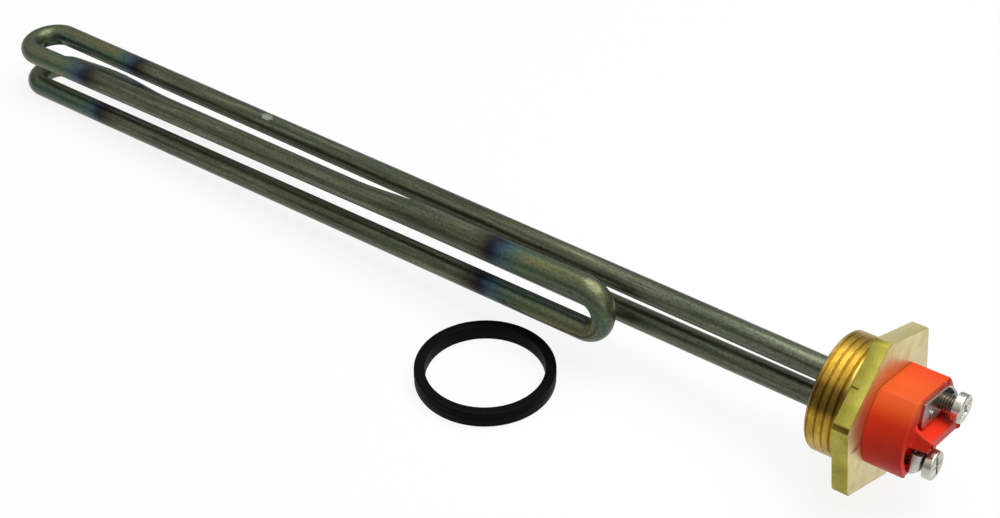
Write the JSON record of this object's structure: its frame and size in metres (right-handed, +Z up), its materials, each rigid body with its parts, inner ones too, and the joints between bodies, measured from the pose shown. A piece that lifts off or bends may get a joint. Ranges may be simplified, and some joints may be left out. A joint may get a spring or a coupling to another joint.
{
  "type": "screw plug immersion heater",
  "caption": "Folded-back tubular heating element in a threaded hexagon plug, with a moulded terminal block, screw terminals and a loose ring gasket.",
  "frame": {"origin": "centre of the plug's sealing face, on the thread axis", "axes": "+X out through the terminals along the thread axis, +Z up as the heater lies on a surface, element towards -X"},
  "size_m": [0.3452, 0.0738, 0.0474],
  "materials": {
    "brass": "satin",
    "sheath": "oxidised satin with heat tints",
    "mineral": "packed powder",
    "wire": "drawn wire",
    "plated_steel": "nickel plated",
    "seal": "matte",
    "moulding": "glossy moulding",
    "rubber": "matte"
  },
  "bodies": {
    "heater": {"screw_plug": "brass", "element_sheath": "sheath", "insulation_core": "mineral", "resistance_coil": "wire", "cold_pin_upper": "plated_steel", "cold_pin_lower": "plated_steel", "end_seal_upper": "seal", "end_seal_lower": "seal", "terminal_block": "moulding", "terminal_strap_upper": "plated_steel", "terminal_strap_lower": "plated_steel", "gasket": "rubber"},
    "upper_screw": {"terminal_screw_upper": "plated_steel"},
    "lower_screw": {"terminal_screw_lower": "plated_steel"}
  },
  "joints": [
    {"name": "upper_screw_travel", "type": "slide", "parent": "heater", "child": "upper_screw", "axis": [1, 0, 0], "range_m": [-0.00125, 0.0019]},
    {"name": "lower_screw_travel", "type": "slide", "parent": "heater", "child": "lower_screw", "axis": [1, 0, 0], "range_m": [-0.00045, 0.0027]}
  ]
}
